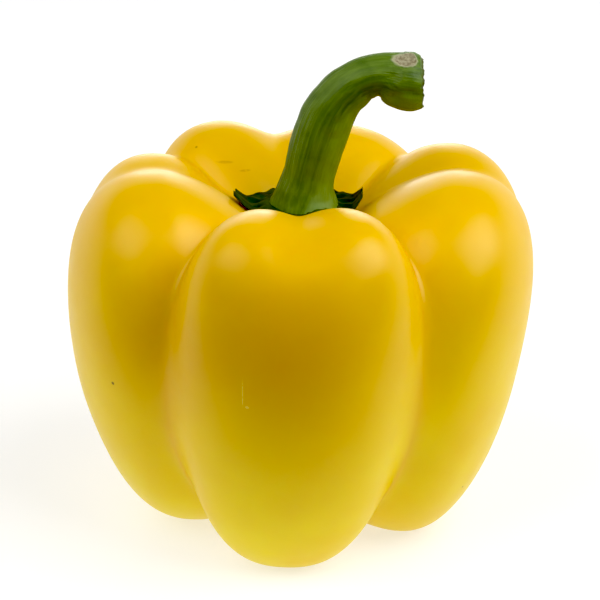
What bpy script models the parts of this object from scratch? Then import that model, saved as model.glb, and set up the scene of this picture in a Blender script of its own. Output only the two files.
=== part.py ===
"""A yellow bell pepper: the lobed fruit, the green calyx seated in its crown and the bent stem above it.

The objects are in metres with +Z up. Every length below is in millimetres, and MM turns it into metres.
The fruit stands on four flat foot spots at z = 0. Its bounding box is centred on x = 0 and y = 0.
Azimuths are in degrees, counted from +X towards +Y. The side at 270 degrees is the front.
"""

import math

import bmesh
import bpy
import numpy as np
from mathutils import Vector
from mathutils.bvhtree import BVHTree

MM = 0.001
GAP = 0.35  # clear space between two pieces that touch

# The fruit is four quarters of two or three bulbs that grow into each other, with one more on the axis.
# crown and foot: azimuth of the bulb at its top and at its bottom
# crest and toe: distance of the bulb's middle from the axis at its top and at its bottom
# reach and width: how far the bulb stands out from its middle, outward and to each side
# top and low: heights between which the bulb lies, and slim: how much it narrows downward
# loss: how much of its inward depth it gives up at its top, which opens the bowl of the crown
# wall and round: powers of its shape inward and upward, where a smaller one is rounder
RIGHT = (
    dict(crown=-8, foot=-17, crest=29, toe=20.4, reach=18.4, width=22, top=71.2, low=-0.6, slim=0.12,
         loss=13, wall=1.6, round=2.7),
    dict(crown=27, foot=8, crest=31.5, toe=21, reach=17.4, width=18, top=70.4, low=4, slim=0.08,
         loss=14, wall=1.6, round=2.5),
)
BACK = (
    dict(crown=74, foot=90, crest=26, toe=21, reach=17, width=23, top=70.4, low=-0.6, slim=0.08,
         loss=14, wall=1.6, round=2.7),
    dict(crown=122.5, foot=106, crest=27.6, toe=21, reach=16.2, width=17, top=71.8, low=1, slim=0.08,
         loss=14, wall=1.6, round=2.7),
)
LEFT = (
    dict(crown=161, foot=170, crest=29, toe=21, reach=15.9, width=17.5, top=70.1, low=4, slim=0.08,
         loss=20, wall=1.6, round=2.7),
    dict(crown=190, foot=182, crest=26.4, toe=19.3, reach=20.3, width=23, top=71.6, low=-0.6, slim=0.1,
         loss=10, wall=1.6, round=2.2),
)
FRONT = (
    dict(crown=252, foot=254.5, crest=27, toe=20.1, reach=16.2, width=15, top=71.7, low=-0.25, slim=0.02,
         loss=12, wall=2.2, round=2.7),
    dict(crown=270.5, foot=263.5, crest=27, toe=20.1, reach=16.8, width=17, top=69.4, low=-0.25, slim=0.04,
         loss=12, wall=2.2, round=2.7),
    dict(crown=290.5, foot=273.5, crest=27, toe=20.1, reach=16.2, width=15.5, top=71.8, low=-0.25, slim=0.02,
         loss=12, wall=2.2, round=2.7),
)
ON_AXIS = (
    dict(crown=0, foot=0, crest=0, toe=0, reach=21, width=21, top=63.2, low=8, slim=0,
         loss=0, wall=2, round=2.7),
)
# Each quarter with how softly its bulbs meet at the ends of the fruit and round its body
QUARTERS = (
    (RIGHT, 0.9, 0.9),
    (BACK, 1.8, 1.8),
    (LEFT, 0.9, 0.9),
    (FRONT, 1.1, 3.0),
    (ON_AXIS, 1.0, 1.0),
)
MID_HEIGHT = 36.0  # height of the inner point that every bulb holds
DEPTH = 35.0  # how far a bulb reaches from its middle inward, past the axis
POWER_OUT, POWER_SIDE, POWER_LOW = 2.5, 2.1, 2.3  # roundness of a bulb outward, sideways and downward
SOFT_ENDS, SOFT_BODY = 0.6, 4.0  # how softly two quarters meet at the ends and round the body
MIDDLE_X, MIDDLE_Y = 0.29, -0.63  # middle of the fruit seen from above, which is moved onto the axis
FARTHEST, SEARCH_STEPS = 90.0, 26  # the search for the skin halves this distance so many times
FRUIT_ROWS, COLUMNS_PER_QUARTER = 42, 23

# Calyx
CALYX_RADIUS = 8.8
CALYX_EDGE_CURL = 0.4  # how far its edge lifts off the fruit between the teeth
CALYX_THICK_MIDDLE, CALYX_THICK_EDGE = 1.3, 0.8
CALYX_SEAT_RADIUS, CALYX_SEAT_TOP = 6.6, 65.2  # level ring that carries the stem
CALYX_SEAT_SLOPE, CALYX_SEAT_STEP = 1.5, 0.6  # width and most height of the slope round that ring
# Teeth: azimuth, half width in degrees, how far each stands out (under zero for a dip) and curls up
CALYX_TEETH = (
    (9, 24, 3.2, 2.5),
    (50, 32, 1.6, 1.2),
    (124, 34, 1.3, 0.7),
    (172, 21, 3.9, 0.5),
    (226, 18, 0.4, 0.2),
    (266, 18, -1.0, 0.0),
    (306, 18, 0.4, 0.2),
)
CALYX_TOOTH_POWER = 4  # how blocky a tooth is
CALYX_STEPS_ROUND, CALYX_STEPS_OUT = 72, 7

# Stem: stations from its base to its cut end, as x, height, half thickness and half width
STEM_STATIONS = (
    (1.0, 65.55, 6.1, 6.1),
    (1.2, 67.6, 5.3, 5.3),
    (1.8, 70.6, 4.9, 4.9),
    (3.2, 76.2, 5.1, 4.9),
    (5.2, 82.2, 5.1, 4.7),
    (7.4, 86.1, 4.6, 4.5),
    (9.6, 88.3, 4.4, 4.4),
    (12.0, 90.0, 4.0, 4.3),
    (15.3, 90.6, 4.2, 4.6),
    (18.4, 89.8, 5.3, 5.3),
    (20.6, 89.4, 5.5, 5.4),
    (22.2, 89.3, 5.2, 5.1),
    (23.0, 89.3, 4.7, 4.6),
)
STEM_RIBS, STEM_RIB_DEPTH = 5, 0.035
STEM_CUT_BULGE = 0.5  # how far the cut face bulges at its middle
STEM_RINGS_PER_SPAN, STEM_STEPS_ROUND = 3, 30


def bulb_level(points, bulb):
    """Under zero inside the bulb and over zero outside it."""
    middle = (bulb["top"] + bulb["low"]) / 2
    height = (points[:, 2] - middle) * 2 / (bulb["top"] - bulb["low"])
    slim = np.clip(1 + bulb["slim"] * height, 0.2, None)
    rise = np.clip((height + 1) / 2, -0.2, 1.2)
    azimuth = np.radians(bulb["foot"] + (bulb["crown"] - bulb["foot"]) * rise)
    cos, sin = np.cos(azimuth), np.sin(azimuth)
    out = points[:, 0] * cos + points[:, 1] * sin - bulb["toe"] - (bulb["crest"] - bulb["toe"]) * rise
    side = np.abs(points[:, 1] * cos - points[:, 0] * sin) / (bulb["width"] * slim)
    outward = np.abs(out / (bulb["reach"] * slim)) ** POWER_OUT
    depth = DEPTH - bulb["loss"] * np.clip(height, 0, 1)
    inward = np.abs(out / depth) ** bulb["wall"]
    upward = np.abs(height) ** np.where(height > 0, bulb["round"], POWER_LOW)
    return np.where(out > 0, outward, inward) + side**POWER_SIDE + upward - 1


def bulb_reach(directions, bulb):
    """How far the bulb reaches along each direction from the fruit's inner point."""
    near = np.zeros(len(directions))
    far = np.full(len(directions), FARTHEST)
    for _ in range(SEARCH_STEPS):
        half_way = (near + far) / 2
        inside = bulb_level(directions * half_way[:, None] + (0, 0, MID_HEIGHT), bulb) < 0
        near = np.where(inside, half_way, near)
        far = np.where(inside, far, half_way)
    return near


def body_share(directions):
    """0 at the ends of the fruit and 1 round its body."""
    return np.hypot(directions[:, 0], directions[:, 1]) ** 6


def soft_maximum(reaches, soft):
    """The largest reach along each direction, rounded where two are nearly the same."""
    largest = np.max(reaches, axis=0)
    return largest + soft * np.log(np.exp((np.array(reaches) - largest) / soft).sum(axis=0))


def quarter_reach(directions, quarter):
    bulbs, soft_ends, soft_body = quarter
    soft = soft_ends + (soft_body - soft_ends) * body_share(directions)
    return soft_maximum([bulb_reach(directions, bulb) for bulb in bulbs], soft)


def directions_at(polars, azimuths):
    """Unit directions from their angles from straight up and their azimuths, in degrees."""
    polars, azimuths = np.radians(polars), np.radians(azimuths)
    level = np.sin(polars)
    return np.stack([level * np.cos(azimuths), level * np.sin(azimuths), np.cos(polars)], axis=-1)


def groove_azimuths(polars, before, after, turn):
    """Azimuths of the deep groove between two quarters, where both reach equally far."""
    low = np.full(len(polars), float(before[0][-1]["crown"]))
    high = np.full(len(polars), float(after[0][0]["crown"] + turn))
    for _ in range(SEARCH_STEPS):
        half_way = (low + high) / 2
        directions = directions_at(polars, half_way)
        before_it = quarter_reach(directions, before) > quarter_reach(directions, after)
        low = np.where(before_it, half_way, low)
        high = np.where(before_it, high, half_way)
    return low


def fruit_points(directions):
    """The fruit's skin along each direction from its inner point."""
    soft = SOFT_ENDS + (SOFT_BODY - SOFT_ENDS) * body_share(directions)
    reach = soft_maximum([quarter_reach(directions, quarter) for quarter in QUARTERS], soft)
    points = directions * reach[:, None] + (-MIDDLE_X, -MIDDLE_Y, MID_HEIGHT)
    points[:, 2] = np.maximum(points[:, 2], 0)
    return points


def mesh_of(name, points, faces):
    """A mesh in metres from points in millimetres, with its faces turned outward."""
    mesh = bpy.data.meshes.new(name)
    mesh.from_pydata([tuple(point) for point in np.asarray(points) * MM], [], faces)
    work = bmesh.new()
    work.from_mesh(mesh)
    bmesh.ops.recalc_face_normals(work, faces=work.faces)
    work.to_mesh(mesh)
    work.free()
    return mesh


def ring_faces(first, second, count):
    """The faces between two rings of points, from the index at which each ring starts."""
    faces = []
    for i in range(count):
        after = (i + 1) % count
        faces.append((first + i, first + after, second + after, second + i))
    return faces


def fan_faces(tip, ring, count):
    """The faces between one point and a ring of points."""
    return [(tip, ring + i, ring + (i + 1) % count) for i in range(count)]


def fruit_mesh():
    """The skin in rows from crown to foot, with a column of its points along each of the four deep grooves."""
    polars = np.linspace(0, 180, FRUIT_ROWS + 2)[1:-1]
    grooves = []
    for before, after, turn in ((0, 1, 0), (1, 2, 0), (2, 3, 0), (3, 0, 360)):
        grooves.append(groove_azimuths(polars, QUARTERS[before], QUARTERS[after], turn))
    grooves.append(grooves[0] + 360)
    azimuths = []
    for start, end in zip(grooves[:-1], grooves[1:]):
        for step in range(COLUMNS_PER_QUARTER):
            azimuths.append(start + (end - start) * step / COLUMNS_PER_QUARTER)
    columns = len(azimuths)
    directions = directions_at(np.repeat(polars, columns), np.array(azimuths).T.ravel())
    points = fruit_points(np.vstack([directions, (0, 0, 1), (0, 0, -1)]))
    faces = fan_faces(len(points) - 2, 0, columns)
    faces += fan_faces(len(points) - 1, (FRUIT_ROWS - 1) * columns, columns)
    for row in range(FRUIT_ROWS - 1):
        faces += ring_faces(row * columns, (row + 1) * columns, columns)
    return mesh_of("fruit", points, faces)


def crown_height(tree, x, y):
    """Height of the fruit's skin at a place in its crown."""
    hit = tree.ray_cast(Vector((x, y, 100)) * MM, Vector((0, 0, -1)))[0]
    return hit.z / MM


def calyx_edge(azimuth):
    """The calyx's radius at an azimuth, and how far its edge curls up there."""
    radius, curl = CALYX_RADIUS, CALYX_EDGE_CURL
    for tooth, half_width, stand, lift in CALYX_TEETH:
        away = (azimuth - tooth + 180) % 360 - 180
        bump = math.exp(-abs(away / half_width) ** CALYX_TOOTH_POWER)
        radius += stand * bump
        curl += lift * bump
    return radius, curl


def calyx_mesh(fruit):
    """A thin toothed dish that follows the crown, with a level ring in its middle for the stem."""
    tree = BVHTree.FromPolygons([v.co for v in fruit.vertices], [p.vertices for p in fruit.polygons])
    lower, upper = [], []
    for ring in range(CALYX_STEPS_OUT):
        share = (ring + 1) / CALYX_STEPS_OUT
        for step in range(CALYX_STEPS_ROUND):
            azimuth = 360 * step / CALYX_STEPS_ROUND
            edge, curl = calyx_edge(azimuth)
            radius = share * edge
            x = radius * math.cos(math.radians(azimuth))
            y = radius * math.sin(math.radians(azimuth))
            bottom = crown_height(tree, x, y) + GAP + curl * share**3
            thick = CALYX_THICK_MIDDLE + (CALYX_THICK_EDGE - CALYX_THICK_MIDDLE) * share
            top = max(bottom + thick, CALYX_SEAT_TOP - CALYX_SEAT_STEP)
            slope = min(max((radius - CALYX_SEAT_RADIUS) / CALYX_SEAT_SLOPE, 0), 1)
            lower.append((x, y, bottom))
            upper.append((x, y, CALYX_SEAT_TOP + (top - CALYX_SEAT_TOP) * slope))
    points = lower + upper
    points.append((0, 0, crown_height(tree, 0, 0) + GAP))
    points.append((0, 0, CALYX_SEAT_TOP))
    faces = fan_faces(len(points) - 2, 0, CALYX_STEPS_ROUND)
    faces += fan_faces(len(points) - 1, len(lower), CALYX_STEPS_ROUND)
    for start in (0, len(lower)):
        for ring in range(CALYX_STEPS_OUT - 1):
            first = start + ring * CALYX_STEPS_ROUND
            faces += ring_faces(first, first + CALYX_STEPS_ROUND, CALYX_STEPS_ROUND)
    edge_low = len(lower) - CALYX_STEPS_ROUND
    edge_high = len(lower) + edge_low
    faces += ring_faces(edge_low, edge_high, CALYX_STEPS_ROUND)
    return mesh_of("calyx", points, faces)


def smooth_line(stations, per_span):
    """Points along a smooth line through the stations, and the line's direction in x and height at each."""
    knots = np.array(stations)
    padded = np.vstack([2 * knots[0] - knots[1], knots, 2 * knots[-1] - knots[-2]])
    line = []
    for span in range(len(knots) - 1):
        a, b, c, d = padded[span : span + 4]
        for step in range(per_span):
            t = step / per_span
            bend = (2 * a - 5 * b + 4 * c - d) * t**2 + (3 * b - a - 3 * c + d) * t**3
            line.append((2 * b + (c - a) * t + bend) / 2)
    line.append(knots[-1])
    line = np.array(line)
    along = np.gradient(line[:, :2], axis=0)
    return line, along / np.linalg.norm(along, axis=1)[:, None]


def stem_mesh():
    """A ribbed round bar along the stations, with a level base and an upright cut end."""
    line, along = smooth_line(STEM_STATIONS, STEM_RINGS_PER_SPAN)
    along[0] = (0, 1)
    along[-1] = (1, 0)
    points = []
    for (x, z, thick, wide), (along_x, along_z) in zip(line, along):
        for step in range(STEM_STEPS_ROUND):
            turn = 2 * math.pi * step / STEM_STEPS_ROUND
            rib = 1 + STEM_RIB_DEPTH * math.cos(STEM_RIBS * turn)
            up = thick * rib * math.cos(turn)
            across = wide * rib * math.sin(turn)
            points.append((x - along_z * up, across, z + along_x * up))
    base_x, base_z = line[0][:2]
    cut_x, cut_z = line[-1][:2]
    points.append((base_x, 0, base_z))
    points.append((cut_x + STEM_CUT_BULGE, 0, cut_z))
    last_ring = (len(line) - 1) * STEM_STEPS_ROUND
    faces = fan_faces(len(points) - 2, 0, STEM_STEPS_ROUND)
    faces += fan_faces(len(points) - 1, last_ring, STEM_STEPS_ROUND)
    for first in range(0, last_ring, STEM_STEPS_ROUND):
        faces += ring_faces(first, first + STEM_STEPS_ROUND, STEM_STEPS_ROUND)
    return mesh_of("stem", points, faces)


def add_object(name, mesh, colour, roughness):
    """One object in the scene, with a plain material of its own."""
    material = bpy.data.materials.new(name)
    material.use_nodes = True
    surface = material.node_tree.nodes["Principled BSDF"]
    surface.inputs["Base Color"].default_value = (*colour, 1)
    surface.inputs["Roughness"].default_value = roughness
    mesh.materials.append(material)
    mesh.shade_smooth()
    bpy.context.scene.collection.objects.link(bpy.data.objects.new(name, mesh))


for old in list(bpy.data.objects):
    bpy.data.objects.remove(old)

fruit = fruit_mesh()
add_object("fruit", fruit, (0.85, 0.55, 0.02), 0.3)
add_object("calyx", calyx_mesh(fruit), (0.03, 0.08, 0.01), 0.5)
add_object("stem", stem_mesh(), (0.08, 0.18, 0.02), 0.45)
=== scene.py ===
"""The looks of a yellow bell pepper: its waxy fruit, its green calyx and its bent green stem.

Every length below is in millimetres, and MM turns it into metres. Azimuths are in degrees,
counted from +X towards +Y, and the side at 270 degrees is the front. The three pieces follow
the same formulas as the solids that they stand for, with more faces and with the small relief
that the solids leave out.
"""

import math

import bmesh
import bpy
import numpy as np
from mathutils import Euler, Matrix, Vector, noise
from mathutils.bvhtree import BVHTree


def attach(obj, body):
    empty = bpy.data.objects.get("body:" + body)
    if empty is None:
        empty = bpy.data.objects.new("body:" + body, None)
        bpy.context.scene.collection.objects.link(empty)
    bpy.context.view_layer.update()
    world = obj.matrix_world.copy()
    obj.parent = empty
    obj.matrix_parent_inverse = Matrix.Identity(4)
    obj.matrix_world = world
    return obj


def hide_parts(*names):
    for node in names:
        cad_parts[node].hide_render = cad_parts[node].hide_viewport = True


MM = 0.001

# Camera
CAMERA_DISTANCE, CAMERA_ELEVATION = 600.0, 24.0
CAMERA_TARGET_HEIGHT = 36.0
CAMERA_TILT = 0.778  # degrees by which the camera looks over that target
CAMERA_LENS = 185.6
BLACK_LEVEL = (0.03, 0.035, 0.045)  # red, green and blue that the picture shows as black

# Floor
FLOOR_SIDE, FLOOR_FRONT, FLOOR_BACK = 600.0, 95.0, 900.0
FLOOR_COLOUR, FLOOR_ROUGHNESS = (0.5, 0.5, 0.49, 1), 0.9
WHITE, FLOOR_GLOW = (1, 1, 1, 1), 0.58

# Lamps: name, azimuth, elevation, width and power in watts
LAMPS = (
    ("lamp_left", 212, 50, 760, 4.4),
    ("lamp_right", -26, 48, 760, 7.3),
    ("lamp_behind", 90, 7, 300, 0.8),
)
LAMP_DISTANCE = 900.0

# Surroundings
WORLD_FRONT, WORLD_BACK = 0.05, 1.3  # brightness on the camera's side and behind the fruit
WORLD_BACK_FROM, WORLD_BACK_TO = -0.5, 0.3  # where it grows from one to the other
WORLD_ABOVE = 0.1  # share of it that is left above
WORLD_ABOVE_FROM, WORLD_ABOVE_TO = 0.2, 0.65  # where it falls to that share
WORLD_SEEN = 1.2  # brightness that the camera sees

# The fruit is four quarters of two or three bulbs that grow into each other, with one more on
# the axis.
# crown and foot: azimuth of the bulb at its top and at its bottom
# crest and toe: distance of the bulb's middle from the axis at its top and at its bottom
# reach and width: how far the bulb stands out from its middle, outward and to each side
# top and low: heights between which the bulb lies, and slim: how much it narrows downward
# loss: how much of its inward depth it gives up at its top, which opens the bowl of the crown
# wall and round: powers of its shape inward and upward, where a smaller one is rounder
RIGHT = (
    dict(crown=-8, foot=-17, crest=29, toe=20.4, reach=18.4, width=22, top=71.2, low=-0.6,
         slim=0.12, loss=13, wall=1.6, round=2.7),
    dict(crown=27, foot=8, crest=31.5, toe=21, reach=17.4, width=18, top=70.4, low=4,
         slim=0.08, loss=14, wall=1.6, round=2.5),
)
BACK = (
    dict(crown=74, foot=90, crest=26, toe=21, reach=17, width=23, top=70.4, low=-0.6,
         slim=0.08, loss=14, wall=1.6, round=2.7),
    dict(crown=122.5, foot=106, crest=27.6, toe=21, reach=16.2, width=17, top=71.8, low=1,
         slim=0.08, loss=14, wall=1.6, round=2.7),
)
LEFT = (
    dict(crown=161, foot=170, crest=29, toe=21, reach=15.9, width=17.5, top=70.1, low=4,
         slim=0.08, loss=20, wall=1.6, round=2.7),
    dict(crown=190, foot=182, crest=26.4, toe=19.3, reach=20.3, width=23, top=71.6, low=-0.6,
         slim=0.1, loss=10, wall=1.6, round=2.2),
)
FRONT = (
    dict(crown=252, foot=254.5, crest=27, toe=20.1, reach=16.2, width=15, top=71.7, low=-0.25,
         slim=0.02, loss=12, wall=2.2, round=2.7),
    dict(crown=270.5, foot=263.5, crest=27, toe=20.1, reach=16.8, width=17, top=69.4, low=-0.25,
         slim=0.04, loss=12, wall=2.2, round=2.7),
    dict(crown=290.5, foot=273.5, crest=27, toe=20.1, reach=16.2, width=15.5, top=71.8, low=-0.25,
         slim=0.02, loss=12, wall=2.2, round=2.7),
)
ON_AXIS = (
    dict(crown=0, foot=0, crest=0, toe=0, reach=21, width=21, top=63.2, low=8,
         slim=0, loss=0, wall=2, round=2.7),
)
# Each quarter with how softly its bulbs meet at the ends of the fruit and round its body
QUARTERS = (
    (RIGHT, 0.9, 0.9),
    (BACK, 1.8, 1.8),
    (LEFT, 0.9, 0.9),
    (FRONT, 1.1, 3.0),
    (ON_AXIS, 1.0, 1.0),
)
GROOVES = 4  # deep grooves, one after each quarter
MID_HEIGHT = 36.0  # height of the inner point that every bulb holds
DEPTH = 35.0  # how far a bulb reaches from its middle inward, past the axis
POWER_OUT, POWER_SIDE, POWER_LOW = 2.5, 2.1, 2.3  # roundness outward, sideways and downward
SLIMMEST = 0.2  # a bulb narrows to this share of its width and no further
LEAN_LOW, LEAN_HIGH = -0.2, 1.2  # how far a bulb's lean goes on past its bottom and its top
SOFT_ENDS, SOFT_BODY = 0.6, 4.0  # how softly two quarters meet at the ends and round the body
BODY_POWER = 6  # how sharply the softness of the ends gives way to that of the body
MIDDLE_X, MIDDLE_Y = 0.29, -0.63  # middle of the fruit seen from above, moved onto the axis
FARTHEST, SEARCH_STEPS = 90.0, 26  # the search for the skin halves this distance so many times
FRUIT_ROWS, COLUMNS_PER_QUARTER = 170, 66
WAVE_LENGTH, WAVE_STRETCH, WAVE_DEPTH = 17.0, 1.6, 0.16  # slow unevenness, stretched upward
WAVE_FADE = 6.0  # the unevenness fades out below this height, so the feet stay flat

# Colours of the fruit
# The paler lemon towards the foot is painted light, from the glowing floor below the fruit
GOLD, FLOOR_LIT_LEMON = (0.82, 0.49, 0.002), (0.85, 0.67, 0.003)
GOLD_HEIGHT, FLOOR_LIT_HEIGHT = 66.0, 12.0  # golden above the first height, lemon below the second
CLOUD_GOLD, CLOUD_SIZE, CLOUD_SHARE = (0.77, 0.455, 0.002), 18, 0.45
# Painted shade: a darker gold along the deep grooves
GROOVE_SHADE, GROOVE_SHADE_SHARE = (0.74, 0.37, 0.001), 0.5
# Painted shade: a darker gold in the middles of the lobes
SHADE_GOLD, SHADE_SHARE = (0.68, 0.36, 0.001), 0.75
SPECK_BROWN, SPECK_SHARE, SPECK_CORE = (0.10, 0.035, 0.002), 0.85, 0.5
SCRATCH_PALE, SCRATCH_DARK = (0.86, 0.68, 0.16), (0.62, 0.32, 0.002)
SKIN_SHINE, SKIN_SHINE_TINT = 0.72, (1.0, 0.94, 0.7, 1)
SKIN_ROUGH_LOW, SKIN_ROUGH_HIGH, SKIN_ROUGH_SIZE = 0.37, 0.44, 6
SKIN_GRAIN_SIZE, SKIN_GRAIN_DEPTH = 0.9, 0.015
SKIN_GLOW, SKIN_GLOW_COLOURS, SKIN_GLOW_DEPTH = 0.25, (1.0, 0.5, 0.05), 4.0  # light inside it

# Darker golden patches of painted shade in the middles of the lobes: azimuth, height, distance
# from the axis, and radius
SHADE_PATCHES = (
    (266, 50.0, 42.0, 26.0),
    (226, 46.0, 34.0, 17.0),
    (80, 52.0, 42.0, 24.0),
    (248, 50.0, 36.0, 9.0),
)
# Dark specks, given the same way. The last is the dry scar under the fruit, where the blossom was.
SPECKS = (
    (212.0, 37.3, 41.3, 0.4),
    (137.3, 69.2, 27.4, 0.45),
    (331.9, 13.1, 35.2, 0.35),
    (273.3, 8.2, 32.6, 0.3),
    (20.0, 30.0, 42.0, 0.35),
    (95.0, 44.0, 42.0, 0.4),
    (165.0, 24.0, 40.0, 0.3),
    (0.0, 3.9, 0.0, 3.0),
)
# Scratches: azimuth, height, distance from the axis, half sizes in x, y and height, and colour
SCRATCHES = (
    (255.7, 43.8, 42.1, (0.22, 1.5, 3.2), SCRATCH_PALE),
    (256.8, 41.2, 42.0, (0.5, 1.5, 0.35), SCRATCH_PALE),
    (135.4, 67.9, 20.5, (2.0, 1.5, 0.25), SCRATCH_DARK),
    (129.4, 66.7, 16.8, (1.3, 1.5, 0.2), SCRATCH_DARK),
    (60.0, 66.0, 27.0, (0.3, 1.2, 0.2), SCRATCH_DARK),
    (20.0, 52.0, 44.0, (1.2, 0.25, 1.6), SCRATCH_DARK),
)
SCRATCH_GRAIN = 0.7  # how wide the gaps in a scratch are

# Calyx
CALYX_RADIUS = 8.8
CALYX_EDGE_CURL = 0.4  # how far its edge lifts off the fruit between the teeth
CALYX_CURL_POWER = 3  # how late on the way to the edge it lifts
CALYX_THICK_MIDDLE, CALYX_THICK_EDGE = 1.3, 0.8
CALYX_GAP = 0.1  # clear space between the calyx and the fruit
CALYX_SEAT_RADIUS, CALYX_SEAT_TOP = 6.6, 65.2  # level ring that carries the stem
CALYX_SEAT_SLOPE, CALYX_SEAT_STEP = 1.5, 0.6  # width and most height of the slope round it
# Teeth: azimuth, half width in degrees, how far each stands out (under zero for a dip) and
# curls up
CALYX_TEETH = (
    (9, 24, 3.2, 2.5),
    (50, 32, 1.6, 1.2),
    (124, 34, 1.3, 0.7),
    (172, 21, 3.9, 0.5),
    (226, 18, 0.4, 0.2),
    (266, 18, -1.0, 0.0),
    (306, 18, 0.4, 0.2),
)
CALYX_TOOTH_POWER = 4  # how blocky a tooth is
# Tears of its edge: how closely they follow each other, how strong they are, and noise layer
CALYX_TEARS = ((4, 1.0, 0), (13, 0.6, 5))
CALYX_TORN_OUT, CALYX_TORN_UP = 0.3, 0.3  # how far its edge is torn outward and upward
CALYX_VEINS, CALYX_VEIN_HEIGHT = 20, 0.16
CALYX_VEIN_WANDER, CALYX_VEIN_BEND = 3, 4  # how far a vein wanders, and over what length
CALYX_BUMP_HEIGHT, CALYX_BUMP_SIZE, CALYX_BUMP_LAYER = 0.2, 2, 9
CALYX_STEPS_ROUND, CALYX_STEPS_OUT = 288, 36
CALYX_DARK, CALYX_GREEN = (0.012, 0.028, 0.002), (0.034, 0.08, 0.006)
CALYX_BROWN = (0.05, 0.06, 0.012)
CALYX_CLOUD_SIZE, CALYX_TORN_SIZE = 2.5, 1.2
CALYX_BROWN_EDGE = (1.45, 1.65)  # limits between which the edge turns brown
CALYX_ROUGHNESS, CALYX_SHINE = 0.6, 0.25
CALYX_GRAIN_SIZE, CALYX_GRAIN_DEPTH = 0.8, 0.15

# Stem: stations from its base to its cut end, as x, height, half thickness and half width
STEM_STATIONS = (
    (0.95, 64.2, 6.9, 6.9),
    (1.0, 65.5, 6.3, 6.3),
    (1.2, 67.6, 5.55, 5.55),
    (1.8, 70.6, 4.9, 4.9),
    (3.2, 76.2, 5.1, 4.9),
    (5.2, 82.2, 5.1, 4.7),
    (7.4, 86.1, 4.6, 4.5),
    (9.6, 88.3, 4.4, 4.4),
    (12.0, 90.0, 4.0, 4.3),
    (15.3, 90.6, 4.2, 4.6),
    (18.4, 89.8, 5.3, 5.3),
    (20.6, 89.4, 5.5, 5.4),
    (22.2, 89.3, 5.2, 5.1),
    (23.0, 89.3, 4.7, 4.6),
)
STEM_RINGS_PER_SPAN, STEM_STEPS_ROUND = 22, 240
STEM_RIBS, STEM_RIB_DEPTH = 5, 0.03  # the depth is a share of the stem's thickness
STEM_LINES, STEM_LINE_LENGTH, STEM_LINE_DEPTH = 13.0, 9, 0.05  # closeness, length and depth
STEM_FINE_CLOSER, STEM_FINE_SHARE = 2.3, 0.5  # finer lines: how much closer and shallower
STEM_FOLDS, STEM_FOLD_LENGTH, STEM_FOLD_DEPTH = 2, 2.2, 0.12  # unevenness across the lines
# Dents: turn from the top in degrees, x, half width round and along, and depth
STEM_DENTS = (
    (-70, 16.6, 1.1, 1.3, 0.45),
    (-118, 18.0, 1.5, 0.8, 0.5),
    (-95, 20.4, 0.9, 1.4, 0.3),
    (-150, 14.2, 1.8, 0.9, 0.35),
)
STEM_END_LENGTH, STEM_END_DROP = 2.5, 0.5  # how the top of the stem draws in at its cut end
STEM_RIM_LENGTH, STEM_RIM_NOTCHES, STEM_RIM_RAGGED, STEM_RIM_LAYER = 1.0, 6, 0.3, 2
STEM_CUT_SINK = 0.5  # how far the cut face lies inside its ragged rim
STEM_CUT_RINGS, STEM_CUT_STEEP = 14, 6  # it is at full depth a sixth of the way inward
STEM_CUT_ROUGH, STEM_CUT_CLOSE, STEM_CUT_LAYER = 0.14, 1.5, 7  # its rough wood

# Oval scar on top of the stem's end, with a raised lip round it
SCAR_TURN, SCAR_X, SCAR_ROUND, SCAR_ALONG, SCAR_DEPTH = -24.0, 19.0, 1.6, 2.5, 0.3
SCAR_RAGGED, SCAR_RAGGED_CLOSE, SCAR_LAYER = 0.12, 1.1, 3
SCAR_FLOOR_POWER = 4  # how flat its floor is
SCAR_LIP_AT, SCAR_LIP_WIDTH, SCAR_LIP_HEIGHT = 1.1, 0.1, 0.12
FAR_FROM_SCAR = 9

# Colours of the stem
RIND_DARK, RIND_LIGHT = (0.060, 0.120, 0.026), (0.118, 0.200, 0.038)
RIND_CLOUD, RIND_STREAK = (0.048, 0.11, 0.024), (0.20, 0.31, 0.06)
# The olive of the under side is painted light: yellow light thrown back onto the stem by the fruit
RIND_STRIPE, PAINTED_BOUNCE = (0.24, 0.36, 0.10), (0.19, 0.275, 0.04)
RIM_BROWN = (0.06, 0.035, 0.008)
CORK_DARK, CORK_LIGHT, CORK_LIP = (0.20, 0.17, 0.10), (0.42, 0.39, 0.26), (0.46, 0.45, 0.28)
WOOD_DARK, WOOD_LIGHT, WOOD_CORE = (0.16, 0.17, 0.05), (0.42, 0.42, 0.20), (0.45, 0.42, 0.25)
STREAK_STRETCH = (1.0, 1.0, 0.06)  # a streak is long along the stem
STREAK_WIDTH, BAND_WIDTH, RIND_CLOUD_SIZE = 0.55, 2.4, 3.5
STREAK_SHARE, RIND_CLOUD_SHARE, STRIPE_SHARE, BOUNCE_SHARE = 0.5, 0.6, 0.6, 0.7
STRIPE_FROM, STRIPE_TO = -5.5, -6.8  # how far round the stem the paler stripe begins
BOUNCE_FROM, BOUNCE_TO, BOUNCE_RAGGED = -1.0, -4.5, 3.0  # how far down the olive side begins
CORK_GRAIN, WOOD_GRAIN, RIM_GRAIN = 0.6, 0.5, 0.8
# Limits between which one colour fades into the next, on the scar's scale and on the cut's
CORK_LIP_EDGE, CORK_LIP_SHARE, CORK_EDGE = (1.22, 1.08), 0.8, (1.08, 0.96)
WOOD_EDGE, CORE_EDGE = (0.1, 0.22), (0.62, 0.75)
RIM_MIDDLE, RIM_EDGE, RIM_END = 0.06, (0.1, 0.03), (0.3, 0.9)
RIND_ROUGH_LOW, RIND_ROUGH_HIGH, RIND_SHINE = 0.4, 0.54, 0.33
STREAK_DEPTH, RIND_GRAIN_SIZE, RIND_GRAIN_DEPTH = 0.12, 0.35, 0.04


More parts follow.
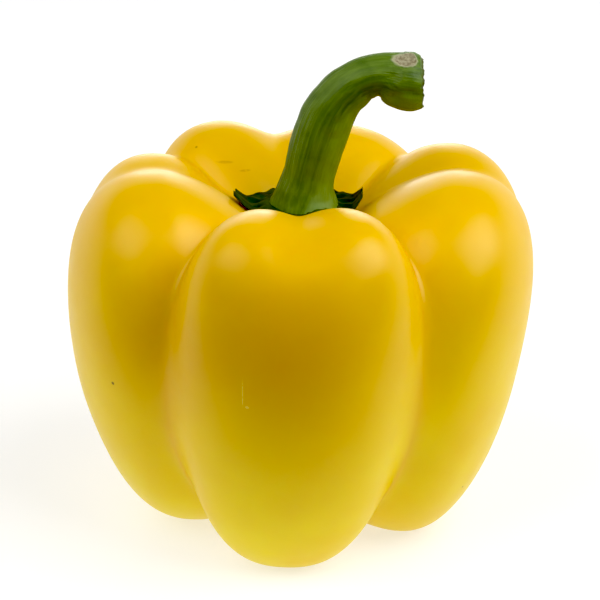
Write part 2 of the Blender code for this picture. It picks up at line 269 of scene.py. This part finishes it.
def bulb_level(points, bulb):
    """Under zero inside the bulb and over zero outside it."""
    middle = (bulb["top"] + bulb["low"]) / 2
    height = (points[:, 2] - middle) * 2 / (bulb["top"] - bulb["low"])
    slim = np.clip(1 + bulb["slim"] * height, SLIMMEST, None)
    rise = np.clip((height + 1) / 2, LEAN_LOW, LEAN_HIGH)
    azimuth = np.radians(bulb["foot"] + (bulb["crown"] - bulb["foot"]) * rise)
    cos, sin = np.cos(azimuth), np.sin(azimuth)
    out = points[:, 0] * cos + points[:, 1] * sin - bulb["toe"]
    out -= (bulb["crest"] - bulb["toe"]) * rise
    side = np.abs(points[:, 1] * cos - points[:, 0] * sin) / (bulb["width"] * slim)
    outward = np.abs(out / (bulb["reach"] * slim)) ** POWER_OUT
    depth = DEPTH - bulb["loss"] * np.clip(height, 0, 1)
    inward = np.abs(out / depth) ** bulb["wall"]
    upward = np.abs(height) ** np.where(height > 0, bulb["round"], POWER_LOW)
    return np.where(out > 0, outward, inward) + side**POWER_SIDE + upward - 1


def bulb_reach(directions, bulb):
    """How far the bulb reaches along each direction from the fruit's inner point."""
    near = np.zeros(len(directions))
    far = np.full(len(directions), FARTHEST)
    for _ in range(SEARCH_STEPS):
        half_way = (near + far) / 2
        inside = bulb_level(directions * half_way[:, None] + (0, 0, MID_HEIGHT), bulb) < 0
        near = np.where(inside, half_way, near)
        far = np.where(inside, far, half_way)
    return near


def body_share(directions):
    """0 at the ends of the fruit and 1 round its body."""
    return np.hypot(directions[:, 0], directions[:, 1]) ** BODY_POWER


def soft_maximum(reaches, soft):
    """The largest reach along each direction, rounded where two are nearly the same."""
    largest = np.max(reaches, axis=0)
    return largest + soft * np.log(np.exp((np.array(reaches) - largest) / soft).sum(axis=0))


def quarter_reach(directions, quarter):
    """How far a quarter reaches along each direction, with its bulbs grown into each other."""
    bulbs, soft_ends, soft_body = quarter
    soft = soft_ends + (soft_body - soft_ends) * body_share(directions)
    return soft_maximum([bulb_reach(directions, bulb) for bulb in bulbs], soft)


def directions_at(polars, azimuths):
    """Unit directions from their angles from straight up and their azimuths, in degrees."""
    polars, azimuths = np.radians(polars), np.radians(azimuths)
    level = np.sin(polars)
    return np.stack([level * np.cos(azimuths), level * np.sin(azimuths), np.cos(polars)], axis=-1)


def groove_azimuths(polars, before, after, turn):
    """Azimuths of the deep groove between two quarters, where both reach equally far."""
    low = np.full(len(polars), float(before[0][-1]["crown"]))
    high = np.full(len(polars), float(after[0][0]["crown"] + turn))
    for _ in range(SEARCH_STEPS):
        half_way = (low + high) / 2
        directions = directions_at(polars, half_way)
        before_it = quarter_reach(directions, before) > quarter_reach(directions, after)
        low = np.where(before_it, half_way, low)
        high = np.where(before_it, high, half_way)
    return low


def slow_waves(points):
    """How far the skin stands out or in at each point, for its slow unevenness."""
    stretched = points / (WAVE_LENGTH, WAVE_LENGTH, WAVE_STRETCH * WAVE_LENGTH)
    return WAVE_DEPTH * np.array([noise.noise(Vector(point)) for point in stretched])


def fruit_points(directions):
    """The skin along each direction from the inner point, and how near it is to a groove."""
    soft = SOFT_ENDS + (SOFT_BODY - SOFT_ENDS) * body_share(directions)
    reaches = [quarter_reach(directions, quarter) for quarter in QUARTERS]
    reach = soft_maximum(reaches, soft)
    points = directions * reach[:, None] + (-MIDDLE_X, -MIDDLE_Y, MID_HEIGHT)
    points += directions * (slow_waves(points) * np.clip(points[:, 2] / WAVE_FADE, 0, 1))[:, None]
    points[:, 2] = np.maximum(points[:, 2], 0)
    groove = np.clip((reach - np.max(reaches, axis=0)) / (soft * math.log(2)), 0, 1)
    return points, groove


def mesh_of(name, points, faces):
    """A mesh in metres from points in millimetres, with its faces turned outward."""
    mesh = bpy.data.meshes.new(name)
    mesh.from_pydata([tuple(point) for point in np.asarray(points) * MM], [], faces)
    work = bmesh.new()
    work.from_mesh(mesh)
    bmesh.ops.recalc_face_normals(work, faces=work.faces)
    work.to_mesh(mesh)
    work.free()
    mesh.shade_smooth()
    return mesh


def add_attribute(mesh, name, values):
    """A number at each point of the mesh, for its material to read."""
    attribute = mesh.attributes.new(name, "FLOAT", "POINT")
    attribute.data.foreach_set("value", np.asarray(values, np.float32))


def ring_faces(first, second, count):
    """The faces between two rings of points, from the index at which each ring starts."""
    faces = []
    for i in range(count):
        after = (i + 1) % count
        faces.append((first + i, first + after, second + after, second + i))
    return faces


def fan_faces(tip, ring, count):
    """The faces between one point and a ring of points."""
    return [(tip, ring + i, ring + (i + 1) % count) for i in range(count)]


def fruit_mesh():
    """The skin in rows from crown to foot, with a column of points along each deep groove."""
    polars = np.linspace(0, 180, FRUIT_ROWS + 2)[1:-1]
    grooves = []
    for before in range(GROOVES):
        after = (before + 1) % GROOVES
        turn = 360 if after == 0 else 0
        grooves.append(groove_azimuths(polars, QUARTERS[before], QUARTERS[after], turn))
    grooves.append(grooves[0] + 360)
    azimuths = []
    for start, end in zip(grooves[:-1], grooves[1:]):
        for step in range(COLUMNS_PER_QUARTER):
            azimuths.append(start + (end - start) * step / COLUMNS_PER_QUARTER)
    columns = len(azimuths)
    directions = directions_at(np.repeat(polars, columns), np.array(azimuths).T.ravel())
    points, groove = fruit_points(np.vstack([directions, (0, 0, 1), (0, 0, -1)]))
    faces = fan_faces(len(points) - 2, 0, columns)
    faces += fan_faces(len(points) - 1, (FRUIT_ROWS - 1) * columns, columns)
    for row in range(FRUIT_ROWS - 1):
        faces += ring_faces(row * columns, (row + 1) * columns, columns)
    mesh = mesh_of("fruit_skin", points, faces)
    add_attribute(mesh, "groove", groove)
    return mesh


def crown_height(tree, x, y):
    """Height of the fruit's skin at a place in its crown."""
    hit = tree.ray_cast(Vector((x, y, 100)) * MM, Vector((0, 0, -1)))[0]
    return hit.z / MM


def calyx_edge(azimuth):
    """The calyx's radius at an azimuth, and how far its edge curls up there."""
    radius, curl = CALYX_RADIUS, CALYX_EDGE_CURL
    for tooth, half_width, stand, lift in CALYX_TEETH:
        away = (azimuth - tooth + 180) % 360 - 180
        bump = math.exp(-abs(away / half_width) ** CALYX_TOOTH_POWER)
        radius += stand * bump
        curl += lift * bump
    cos, sin = math.cos(math.radians(azimuth)), math.sin(math.radians(azimuth))
    torn = 0
    for close, strength, layer in CALYX_TEARS:
        torn += strength * noise.noise(Vector((close * cos, close * sin, layer)))
    return radius + CALYX_TORN_OUT * torn, curl + CALYX_TORN_UP * torn


def calyx_relief(azimuth, x, y):
    """How far the calyx's veins and bumps stand up at a place."""
    wander = CALYX_VEIN_WANDER * noise.noise(Vector((x, y, 0)) / CALYX_VEIN_BEND)
    vein = math.cos(CALYX_VEINS * math.radians(azimuth) + wander)
    bump = noise.noise(Vector((x, y, CALYX_BUMP_LAYER)) / CALYX_BUMP_SIZE)
    return CALYX_VEIN_HEIGHT * vein + CALYX_BUMP_HEIGHT * bump


def calyx_mesh(fruit):
    """A thin toothed dish that follows the crown, with a level ring in its middle for the stem."""
    places = [vertex.co for vertex in fruit.vertices]
    tree = BVHTree.FromPolygons(places, [face.vertices for face in fruit.polygons])
    lower, upper = [], []
    for ring in range(CALYX_STEPS_OUT):
        share = (ring + 1) / CALYX_STEPS_OUT
        for step in range(CALYX_STEPS_ROUND):
            azimuth = 360 * step / CALYX_STEPS_ROUND
            edge, curl = calyx_edge(azimuth)
            radius = share * edge
            x = radius * math.cos(math.radians(azimuth))
            y = radius * math.sin(math.radians(azimuth))
            bottom = crown_height(tree, x, y) + CALYX_GAP + curl * share**CALYX_CURL_POWER
            thick = CALYX_THICK_MIDDLE + (CALYX_THICK_EDGE - CALYX_THICK_MIDDLE) * share
            top = max(bottom + thick, CALYX_SEAT_TOP - CALYX_SEAT_STEP)
            slope = min(max((radius - CALYX_SEAT_RADIUS) / CALYX_SEAT_SLOPE, 0), 1)
            rise = (top + calyx_relief(azimuth, x, y) - CALYX_SEAT_TOP) * slope
            lower.append((x, y, bottom))
            upper.append((x, y, CALYX_SEAT_TOP + rise))
    points = lower + upper
    points.append((0, 0, crown_height(tree, 0, 0) + CALYX_GAP))
    points.append((0, 0, CALYX_SEAT_TOP))
    faces = fan_faces(len(points) - 2, 0, CALYX_STEPS_ROUND)
    faces += fan_faces(len(points) - 1, len(lower), CALYX_STEPS_ROUND)
    for start in (0, len(lower)):
        for ring in range(CALYX_STEPS_OUT - 1):
            first = start + ring * CALYX_STEPS_ROUND
            faces += ring_faces(first, first + CALYX_STEPS_ROUND, CALYX_STEPS_ROUND)
    edge_low = len(lower) - CALYX_STEPS_ROUND
    edge_high = len(lower) + edge_low
    faces += ring_faces(edge_low, edge_high, CALYX_STEPS_ROUND)
    mesh = mesh_of("calyx_dish", points, faces)
    shares = np.repeat(np.arange(1, CALYX_STEPS_OUT + 1) / CALYX_STEPS_OUT, CALYX_STEPS_ROUND)
    add_attribute(mesh, "edge", np.concatenate([shares, shares, [0, 0]]))
    return mesh


def smooth_line(stations, per_span):
    """Points along a smooth line through the stations, and its direction at each of them."""
    knots = np.array(stations)
    padded = np.vstack([2 * knots[0] - knots[1], knots, 2 * knots[-1] - knots[-2]])
    line = []
    for span in range(len(knots) - 1):
        a, b, c, d = padded[span : span + 4]
        for step in range(per_span):
            t = step / per_span
            bend = (2 * a - 5 * b + 4 * c - d) * t**2 + (3 * b - a - 3 * c + d) * t**3
            line.append((2 * b + (c - a) * t + bend) / 2)
    line.append(knots[-1])
    line = np.array(line)
    along = np.gradient(line[:, :2], axis=0)
    return line, along / np.linalg.norm(along, axis=1)[:, None]


def way_round(turn, from_turn, radius):
    """How far round the stem a turn is from another one, in millimetres."""
    return math.radians((math.degrees(turn) - from_turn + 180) % 360 - 180) * radius


def dent_depth(turn, x, radius, dent):
    """How deep a dent is at a place on the stem whose girth has that radius."""
    dent_turn, dent_x, half_round, half_along, depth = dent
    away = way_round(turn, dent_turn, radius)
    return depth * math.exp(-((away / half_round) ** 2) - ((x - dent_x) / half_along) ** 2)


def scar_share(turn, x, radius):
    """Under 1 inside the oval scar on top of the stem's end."""
    away = way_round(turn, SCAR_TURN, radius)
    ragged = 1 + SCAR_RAGGED * noise.noise(Vector((away, x, SCAR_LAYER)) * SCAR_RAGGED_CLOSE)
    return math.hypot(away / SCAR_ROUND, (x - SCAR_X) / SCAR_ALONG) * ragged


def stem_relief(turn, length, x, radius):
    """How far the stem's skin stands out at a place, and the scar's share there."""
    cos, sin = math.cos(turn), math.sin(turn)
    rib = STEM_RIB_DEPTH * math.cos(STEM_RIBS * turn) * radius
    place = Vector((cos * STEM_LINES, sin * STEM_LINES, length / STEM_LINE_LENGTH))
    fine = STEM_FINE_SHARE * noise.noise(place * STEM_FINE_CLOSER)
    lines = STEM_LINE_DEPTH * (noise.noise(place) + fine)
    place = Vector((STEM_FOLDS * cos, STEM_FOLDS * sin, length / STEM_FOLD_LENGTH))
    stand = rib + lines + STEM_FOLD_DEPTH * noise.noise(place)
    for dent in STEM_DENTS:
        stand -= dent_depth(turn, x, radius, dent)
    scar = scar_share(turn, x, radius)
    stand -= SCAR_DEPTH * max(0, 1 - scar**SCAR_FLOOR_POWER)
    stand += SCAR_LIP_HEIGHT * math.exp(-(((scar - SCAR_LIP_AT) / SCAR_LIP_WIDTH) ** 2))
    return stand, scar


# Each point of the stem carries four values for its material.
# grain: its place if the stem were straight, and scar: under 1 inside the scar
# cut: 0 on the skin and 1 in the middle of the cut face, and end: 1 at the rim of the cut


def stem_skin(line, along, lengths):
    """The points of the stem's skin, each with its grain, scar, cut and end."""
    points = []
    for (x, z, thick, wide), (along_x, along_z), length in zip(line, along, lengths):
        from_end = lengths[-1] - length
        near_end = max(0, 1 - from_end / STEM_END_LENGTH)
        for step in range(STEM_STEPS_ROUND):
            turn = 2 * math.pi * step / STEM_STEPS_ROUND
            cos, sin = math.cos(turn), math.sin(turn)
            stand, scar = stem_relief(turn, length, x, thick)
            stand -= STEM_END_DROP * near_end**2 * max(0, cos)
            up, across = (thick + stand) * cos, (wide + stand) * sin
            place = Vector((STEM_RIM_NOTCHES * cos, STEM_RIM_NOTCHES * sin, STEM_RIM_LAYER))
            ragged = STEM_RIM_RAGGED * near_end**3 * noise.noise(place)
            point = (x - along_z * up + ragged, across, z + along_x * up)
            grain = (cos * thick, sin * thick, length)
            points.append((point, grain, scar, 0, max(0, 1 - from_end / STEM_RIM_LENGTH)))
    return points


def stem_cut(rim, end, length):
    """The points of the sunken cut face inside its rim, each with its grain, scar, cut and end."""
    end_x, end_z, thick, _ = end
    points = []
    for ring in range(1, STEM_CUT_RINGS):
        inward = ring / STEM_CUT_RINGS
        outward = 1 - inward
        sink = STEM_CUT_SINK * min(inward * STEM_CUT_STEEP, 1)
        for step, (rim_x, rim_y, rim_z) in enumerate(rim):
            place = Vector((rim_y, rim_z, STEM_CUT_LAYER)) * outward * STEM_CUT_CLOSE
            x = end_x + (rim_x - end_x) * outward - sink + STEM_CUT_ROUGH * noise.noise(place)
            turn = 2 * math.pi * step / STEM_STEPS_ROUND
            grain = (math.cos(turn) * thick, math.sin(turn) * thick, length + inward * thick)
            point = (x, rim_y * outward, end_z + (rim_z - end_z) * outward)
            points.append((point, grain, FAR_FROM_SCAR, inward, 1))
    return points


def stem_mesh():
    """A ribbed bar along the stations, with fine lengthwise lines, a scar and a sunken cut end."""
    line, along = smooth_line(STEM_STATIONS, STEM_RINGS_PER_SPAN)
    along[0] = (0, 1)
    along[-1] = (1, 0)
    spans = np.linalg.norm(np.diff(line[:, :2], axis=0), axis=1)
    lengths = np.concatenate([[0], np.cumsum(spans)])
    (base_x, base_z), (end_x, end_z) = line[0][:2], line[-1][:2]
    rows = stem_skin(line, along, lengths)
    rim = [row[0] for row in rows[-STEM_STEPS_ROUND:]]
    rows += stem_cut(rim, line[-1], lengths[-1])
    last_ring = len(rows) - STEM_STEPS_ROUND
    rows.append(((base_x, 0, base_z), (0, 0, 0), FAR_FROM_SCAR, 0, 0))
    rows.append(((end_x - STEM_CUT_SINK, 0, end_z), (0, 0, lengths[-1]), FAR_FROM_SCAR, 1, 1))
    points, grain, scar, cut, end = zip(*rows)
    faces = fan_faces(len(points) - 2, 0, STEM_STEPS_ROUND)
    faces += fan_faces(len(points) - 1, last_ring, STEM_STEPS_ROUND)
    for first in range(0, last_ring, STEM_STEPS_ROUND):
        faces += ring_faces(first, first + STEM_STEPS_ROUND, STEM_STEPS_ROUND)
    mesh = mesh_of("stem_bar", points, faces)
    add_attribute(mesh, "scar", scar)
    add_attribute(mesh, "cut", cut)
    add_attribute(mesh, "end", end)
    direction = mesh.attributes.new("grain", "FLOAT_VECTOR", "POINT")
    direction.data.foreach_set("vector", np.array(grain, np.float32).ravel() * MM)
    return mesh


def spot_at(azimuth, height, from_axis):
    """A place in metres from its azimuth, height and distance from the axis."""
    turn = math.radians(azimuth)
    return Vector((from_axis * math.cos(turn), from_axis * math.sin(turn), height)) * MM


class Shader:
    """A material's nodes, each added by one call."""

    def __init__(self, name):
        self.material = bpy.data.materials.new(name)
        self.material.use_nodes = True
        self.tree = self.material.node_tree
        self.surface = self.tree.nodes["Principled BSDF"]

    def node(self, kind, **settings):
        made = self.tree.nodes.new(kind)
        for key, value in settings.items():
            setattr(made, key, value)
        return made

    def put(self, socket, value):
        """Links the value if it is another node's output, and otherwise sets the socket to it."""
        if isinstance(value, bpy.types.NodeSocket):
            self.tree.links.new(value, socket)
        else:
            socket.default_value = value

    def place(self):
        return self.node("ShaderNodeTexCoord").outputs["Object"]

    def attribute(self, name, kind="Fac"):
        return self.node("ShaderNodeAttribute", attribute_name=name).outputs[kind]

    def split(self, place):
        """The x, y and z of a place."""
        made = self.node("ShaderNodeSeparateXYZ")
        self.put(made.inputs[0], place)
        return made.outputs

    def noise(self, place, size, detail=2.0):
        """Cloudy noise round 0.5, whose spots are about that many millimetres wide."""
        made = self.node("ShaderNodeTexNoise")
        self.put(made.inputs["Vector"], place)
        self.put(made.inputs["Scale"], 1 / (size * MM))
        self.put(made.inputs["Detail"], detail)
        return made.outputs["Fac"]

    def spread(self, value, low, high, to_low=0.0, to_high=1.0):
        """The value moved from one range to another, and held inside it."""
        made = self.node("ShaderNodeMapRange", clamp=True)
        self.put(made.inputs["Value"], value)
        self.put(made.inputs["From Min"], low)
        self.put(made.inputs["From Max"], high)
        self.put(made.inputs["To Min"], to_low)
        self.put(made.inputs["To Max"], to_high)
        return made.outputs["Result"]

    def blend(self, share, first, second):
        """One colour faded into another by a share."""
        made = self.node("ShaderNodeMix", data_type="RGBA")
        self.put(made.inputs["Factor"], share)
        for socket, colour in ((made.inputs[6], first), (made.inputs[7], second)):
            self.put(socket, (*colour, 1) if isinstance(colour, tuple) else colour)
        return made.outputs[2]

    def math(self, operation, first, second=0.0):
        made = self.node("ShaderNodeMath", operation=operation)
        self.put(made.inputs[0], first)
        self.put(made.inputs[1], second)
        return made.outputs[0]

    def vector(self, operation, first, second=(0, 0, 0)):
        made = self.node("ShaderNodeVectorMath", operation=operation)
        self.put(made.inputs[0], first)
        self.put(made.inputs[1], second)
        return made.outputs

    def bump(self, height, depth, below=None):
        """Relief as deep as that many millimetres."""
        made = self.node("ShaderNodeBump")
        self.put(made.inputs["Height"], height)
        self.put(made.inputs["Distance"], depth * MM)
        if below is not None:
            self.put(made.inputs["Normal"], below)
        return made.outputs["Normal"]

    def near(self, place, spot, half_sizes):
        """Under 1 inside an egg shape of those half sizes round a spot."""
        away = self.vector("SUBTRACT", place, spot)["Vector"]
        share = self.vector("DIVIDE", away, Vector(half_sizes) * MM)["Vector"]
        return self.vector("LENGTH", share)["Value"]

    def finish(self, **inputs):
        for key, value in inputs.items():
            self.put(self.surface.inputs[key.replace("_", " ")], value)
        return self.material


def fruit_material():
    """Waxy yellow skin with soft clouds: golden at the crown, paler lemon at the foot as painted
    light from the glowing floor, and painted shade along its grooves and in the middles of its
    lobes.
    """
    skin = Shader("fruit_skin")
    place = skin.place()
    # Painted light: the skin turns paler lemon towards its foot, where the glowing floor lights it
    low = skin.spread(skin.split(place)["Z"], GOLD_HEIGHT * MM, FLOOR_LIT_HEIGHT * MM)
    colour = skin.blend(low, GOLD, FLOOR_LIT_LEMON)
    clouds = skin.spread(skin.noise(place, CLOUD_SIZE), 0.35, 0.7, 0, CLOUD_SHARE)
    colour = skin.blend(clouds, colour, CLOUD_GOLD)
    # Painted shade: the skin turns a darker gold along the deep grooves
    grooves = skin.spread(skin.attribute("groove"), 0.3, 1, 0, GROOVE_SHADE_SHARE)
    colour = skin.blend(grooves, colour, GROOVE_SHADE)
    # Painted shade: darker golden patches in the middles of the lobes
    for azimuth, height, from_axis, radius in SHADE_PATCHES:
        away = skin.vector("DISTANCE", place, spot_at(azimuth, height, from_axis))["Value"]
        painted_shade = skin.spread(away, 0, radius * MM, SHADE_SHARE, 0)
        colour = skin.blend(painted_shade, colour, SHADE_GOLD)
    for azimuth, height, from_axis, radius in SPECKS:
        away = skin.vector("DISTANCE", place, spot_at(azimuth, height, from_axis))["Value"]
        speck = skin.spread(away, radius * SPECK_CORE * MM, radius * MM, SPECK_SHARE, 0)
        colour = skin.blend(speck, colour, SPECK_BROWN)
    for azimuth, height, from_axis, half_sizes, scratch_colour in SCRATCHES:
        share = skin.near(place, spot_at(azimuth, height, from_axis), half_sizes)
        gaps = skin.spread(skin.noise(place, SCRATCH_GRAIN), 0.35, 0.55, 0.3, 0.75)
        scratch = skin.math("MULTIPLY", skin.spread(share, 1.0, 0.6), gaps)
        colour = skin.blend(scratch, colour, scratch_colour)
    rough = skin.noise(place, SKIN_ROUGH_SIZE)
    return skin.finish(
        Base_Color=colour,
        Roughness=skin.spread(rough, 0.3, 0.7, SKIN_ROUGH_LOW, SKIN_ROUGH_HIGH),
        Specular_IOR_Level=SKIN_SHINE,
        Specular_Tint=SKIN_SHINE_TINT,
        Subsurface_Weight=SKIN_GLOW,
        Subsurface_Radius=SKIN_GLOW_COLOURS,
        Subsurface_Scale=SKIN_GLOW_DEPTH * MM,
        Normal=skin.bump(skin.noise(place, SKIN_GRAIN_SIZE, 3), SKIN_GRAIN_DEPTH),
    )


def calyx_material():
    """Dark green leathery dish with nearly black clouds, and brown along its torn edge."""
    dish = Shader("calyx_green")
    place = dish.place()
    clouds = dish.spread(dish.noise(place, CALYX_CLOUD_SIZE, 4), 0.3, 0.7)
    colour = dish.blend(clouds, CALYX_DARK, CALYX_GREEN)
    torn = dish.math("ADD", dish.attribute("edge"), dish.noise(place, CALYX_TORN_SIZE))
    colour = dish.blend(dish.spread(torn, *CALYX_BROWN_EDGE), colour, CALYX_BROWN)
    return dish.finish(
        Base_Color=colour,
        Roughness=CALYX_ROUGHNESS,
        Specular_IOR_Level=CALYX_SHINE,
        Normal=dish.bump(dish.noise(place, CALYX_GRAIN_SIZE, 3), CALYX_GRAIN_DEPTH),
    )


def rind_colour(bar, place, grain, streaks):
    """Green with darker clouds, pale streaks and one paler stripe, and olive on the under side,
    which is painted light thrown back onto it by the yellow fruit.
    """
    stretched = bar.vector("MULTIPLY", grain, STREAK_STRETCH)["Vector"]
    bands = bar.spread(bar.noise(stretched, BAND_WIDTH, 2), 0.3, 0.7)
    colour = bar.blend(bands, RIND_DARK, RIND_LIGHT)
    colour = bar.blend(bar.spread(streaks, 0.42, 0.72, 0, STREAK_SHARE), colour, RIND_STREAK)
    clouds = bar.spread(bar.noise(place, RIND_CLOUD_SIZE, 3), 0.5, 0.75, 0, RIND_CLOUD_SHARE)
    colour = bar.blend(clouds, colour, RIND_CLOUD)
    side = bar.split(grain)
    stripe = bar.math("ADD", side["X"], side["Y"])
    stripe = bar.spread(stripe, STRIPE_FROM * MM, STRIPE_TO * MM, 0, STRIPE_SHARE)
    colour = bar.blend(stripe, colour, RIND_STRIPE)
    # Painted light: olive on the under side, where the yellow fruit throws light back onto the
    # stem
    ragged = bar.math("ADD", side["X"], bar.math("MULTIPLY", streaks, BOUNCE_RAGGED * MM))
    bounce = bar.spread(ragged, BOUNCE_FROM * MM, BOUNCE_TO * MM)
    bounce = bar.math("MULTIPLY", bounce, BOUNCE_SHARE)
    return bar.blend(bounce, colour, PAINTED_BOUNCE)


def stem_material():
    """Green rind with a beige corky scar, a pale woody cut and a brown rim round it."""
    bar = Shader("stem_green")
    place = bar.place()
    grain = bar.attribute("grain", "Vector")
    stretched = bar.vector("MULTIPLY", grain, STREAK_STRETCH)["Vector"]
    streaks = bar.noise(stretched, STREAK_WIDTH, 4)
    colour = rind_colour(bar, place, grain, streaks)
    scar = bar.attribute("scar")
    cork = bar.spread(bar.noise(place, CORK_GRAIN, 4), 0.35, 0.65)
    cork = bar.blend(cork, CORK_DARK, CORK_LIGHT)
    colour = bar.blend(bar.spread(scar, *CORK_LIP_EDGE, 0, CORK_LIP_SHARE), colour, CORK_LIP)
    colour = bar.blend(bar.spread(scar, *CORK_EDGE), colour, cork)
    cut = bar.attribute("cut")
    wood = bar.spread(bar.noise(place, WOOD_GRAIN, 4), 0.35, 0.65)
    wood = bar.blend(wood, WOOD_DARK, WOOD_LIGHT)
    wood = bar.blend(bar.spread(cut, *CORE_EDGE), wood, WOOD_CORE)
    colour = bar.blend(bar.spread(cut, *WOOD_EDGE), colour, wood)
    from_rim = bar.math("ABSOLUTE", bar.math("SUBTRACT", cut, RIM_MIDDLE))
    near_end = bar.spread(bar.attribute("end"), *RIM_END)
    rim = bar.math("MULTIPLY", bar.spread(from_rim, *RIM_EDGE), near_end)
    rim = bar.math("MULTIPLY", rim, bar.spread(bar.noise(place, RIM_GRAIN), 0.3, 0.5))
    colour = bar.blend(rim, colour, RIM_BROWN)
    relief = bar.bump(streaks, STREAK_DEPTH)
    return bar.finish(
        Base_Color=colour,
        Roughness=bar.spread(streaks, 0.3, 0.7, RIND_ROUGH_LOW, RIND_ROUGH_HIGH),
        Specular_IOR_Level=RIND_SHINE,
        Normal=bar.bump(bar.noise(place, RIND_GRAIN_SIZE, 3), RIND_GRAIN_DEPTH, relief),
    )


def add_piece(mesh, material, node):
    """One piece of the object in the place of a solid."""
    mesh.materials.append(material)
    piece = bpy.data.objects.new(mesh.name, mesh)
    bpy.context.scene.collection.objects.link(piece)
    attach(piece, "root")
    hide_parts(node)


def add_floor():
    """A wide white floor that glows, so that the fruit throws hardly any shadow on it."""
    left_front, right_front = (-FLOOR_SIDE, -FLOOR_FRONT, 0), (FLOOR_SIDE, -FLOOR_FRONT, 0)
    right_back, left_back = (FLOOR_SIDE, FLOOR_BACK, 0), (-FLOOR_SIDE, FLOOR_BACK, 0)
    mesh = mesh_of("floor", [left_front, right_front, right_back, left_back], [(0, 1, 2, 3)])
    paint = Shader("floor_white")
    white = paint.finish(
        Base_Color=FLOOR_COLOUR,
        Roughness=FLOOR_ROUGHNESS,
        Emission_Color=WHITE,
        Emission_Strength=FLOOR_GLOW,
    )
    mesh.materials.append(white)
    floor = bpy.data.objects.new("floor", mesh)
    bpy.context.scene.collection.objects.link(floor)


def world_spread(tree, value, low, high, to_low, to_high):
    """The value moved smoothly from one range to another."""
    made = tree.nodes.new("ShaderNodeMapRange")
    made.interpolation_type = "SMOOTHSTEP"
    tree.links.new(value, made.inputs["Value"])
    made.inputs["From Min"].default_value = low
    made.inputs["From Max"].default_value = high
    made.inputs["To Min"].default_value = to_low
    made.inputs["To Max"].default_value = to_high
    return made.outputs["Result"]


def add_world():
    """White surroundings, darker above and on the camera's side, and plain white to the camera."""
    world = bpy.data.worlds.new("studio")
    world.use_nodes = True
    bpy.context.scene.world = world
    tree = world.node_tree
    tree.nodes.clear()
    coordinate = tree.nodes.new("ShaderNodeTexCoord")
    split = tree.nodes.new("ShaderNodeSeparateXYZ")
    tree.links.new(coordinate.outputs["Generated"], split.inputs[0])
    back, up = split.outputs["Y"], split.outputs["Z"]
    back = world_spread(tree, back, WORLD_BACK_FROM, WORLD_BACK_TO, WORLD_FRONT, WORLD_BACK)
    up = world_spread(tree, up, WORLD_ABOVE_FROM, WORLD_ABOVE_TO, 1.0, WORLD_ABOVE)
    product = tree.nodes.new("ShaderNodeMath")
    product.operation = "MULTIPLY"
    tree.links.new(back, product.inputs[0])
    tree.links.new(up, product.inputs[1])
    path = tree.nodes.new("ShaderNodeLightPath")
    mix = tree.nodes.new("ShaderNodeMix")
    tree.links.new(path.outputs["Is Camera Ray"], mix.inputs[0])
    tree.links.new(product.outputs[0], mix.inputs[2])
    mix.inputs[3].default_value = WORLD_SEEN
    background = tree.nodes.new("ShaderNodeBackground")
    tree.links.new(mix.outputs[0], background.inputs["Strength"])
    background.inputs["Color"].default_value = WHITE
    output = tree.nodes.new("ShaderNodeOutputWorld")
    tree.links.new(background.outputs[0], output.inputs["Surface"])


def add_lamp(name, azimuth, elevation, width, power):
    """A square soft lamp that looks at the fruit's middle."""
    lamp = bpy.data.lights.new(name, "AREA")
    lamp.size = width * MM
    lamp.energy = power
    turn, rise = math.radians(azimuth), math.radians(elevation)
    level = math.cos(rise)
    away = Vector((math.cos(turn) * level, math.sin(turn) * level, math.sin(rise)))
    stand = bpy.data.objects.new(name, lamp)
    stand.location = (away * LAMP_DISTANCE + Vector((0, 0, MID_HEIGHT))) * MM
    stand.rotation_euler = away.to_track_quat("Z", "Y").to_euler()
    bpy.context.scene.collection.objects.link(stand)


def add_camera():
    """The camera in front of the fruit, looking down at it."""
    rise = math.radians(CAMERA_ELEVATION)
    away = Vector((0, -math.cos(rise), math.sin(rise))) * CAMERA_DISTANCE
    data = bpy.data.cameras.new("camera")
    data.lens = CAMERA_LENS
    camera = bpy.data.objects.new("camera", data)
    camera.location = (away + Vector((0, 0, CAMERA_TARGET_HEIGHT))) * MM
    camera.rotation_euler = Euler((math.radians(90 - CAMERA_ELEVATION + CAMERA_TILT), 0, 0))
    bpy.context.scene.collection.objects.link(camera)
    bpy.context.scene.camera = camera


def set_contrast():
    """Plain colours with a raised black level, which deepens the shaded sides."""
    view = bpy.context.scene.view_settings
    view.view_transform = "Standard"
    view.use_curve_mapping = True
    view.curve_mapping.black_level = BLACK_LEVEL
    view.curve_mapping.update()


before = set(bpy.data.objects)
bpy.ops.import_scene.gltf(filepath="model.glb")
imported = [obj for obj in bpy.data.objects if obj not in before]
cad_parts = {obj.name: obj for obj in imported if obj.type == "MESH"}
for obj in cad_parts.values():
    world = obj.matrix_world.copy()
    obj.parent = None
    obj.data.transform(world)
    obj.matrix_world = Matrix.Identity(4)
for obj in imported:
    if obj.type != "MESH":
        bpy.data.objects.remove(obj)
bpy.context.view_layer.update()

fruit = fruit_mesh()
add_piece(fruit, fruit_material(), "fruit")
add_piece(calyx_mesh(fruit), calyx_material(), "calyx")
add_piece(stem_mesh(), stem_material(), "stem")

add_floor()
add_world()
for lamp in LAMPS:
    add_lamp(*lamp)
add_camera()
set_contrast()
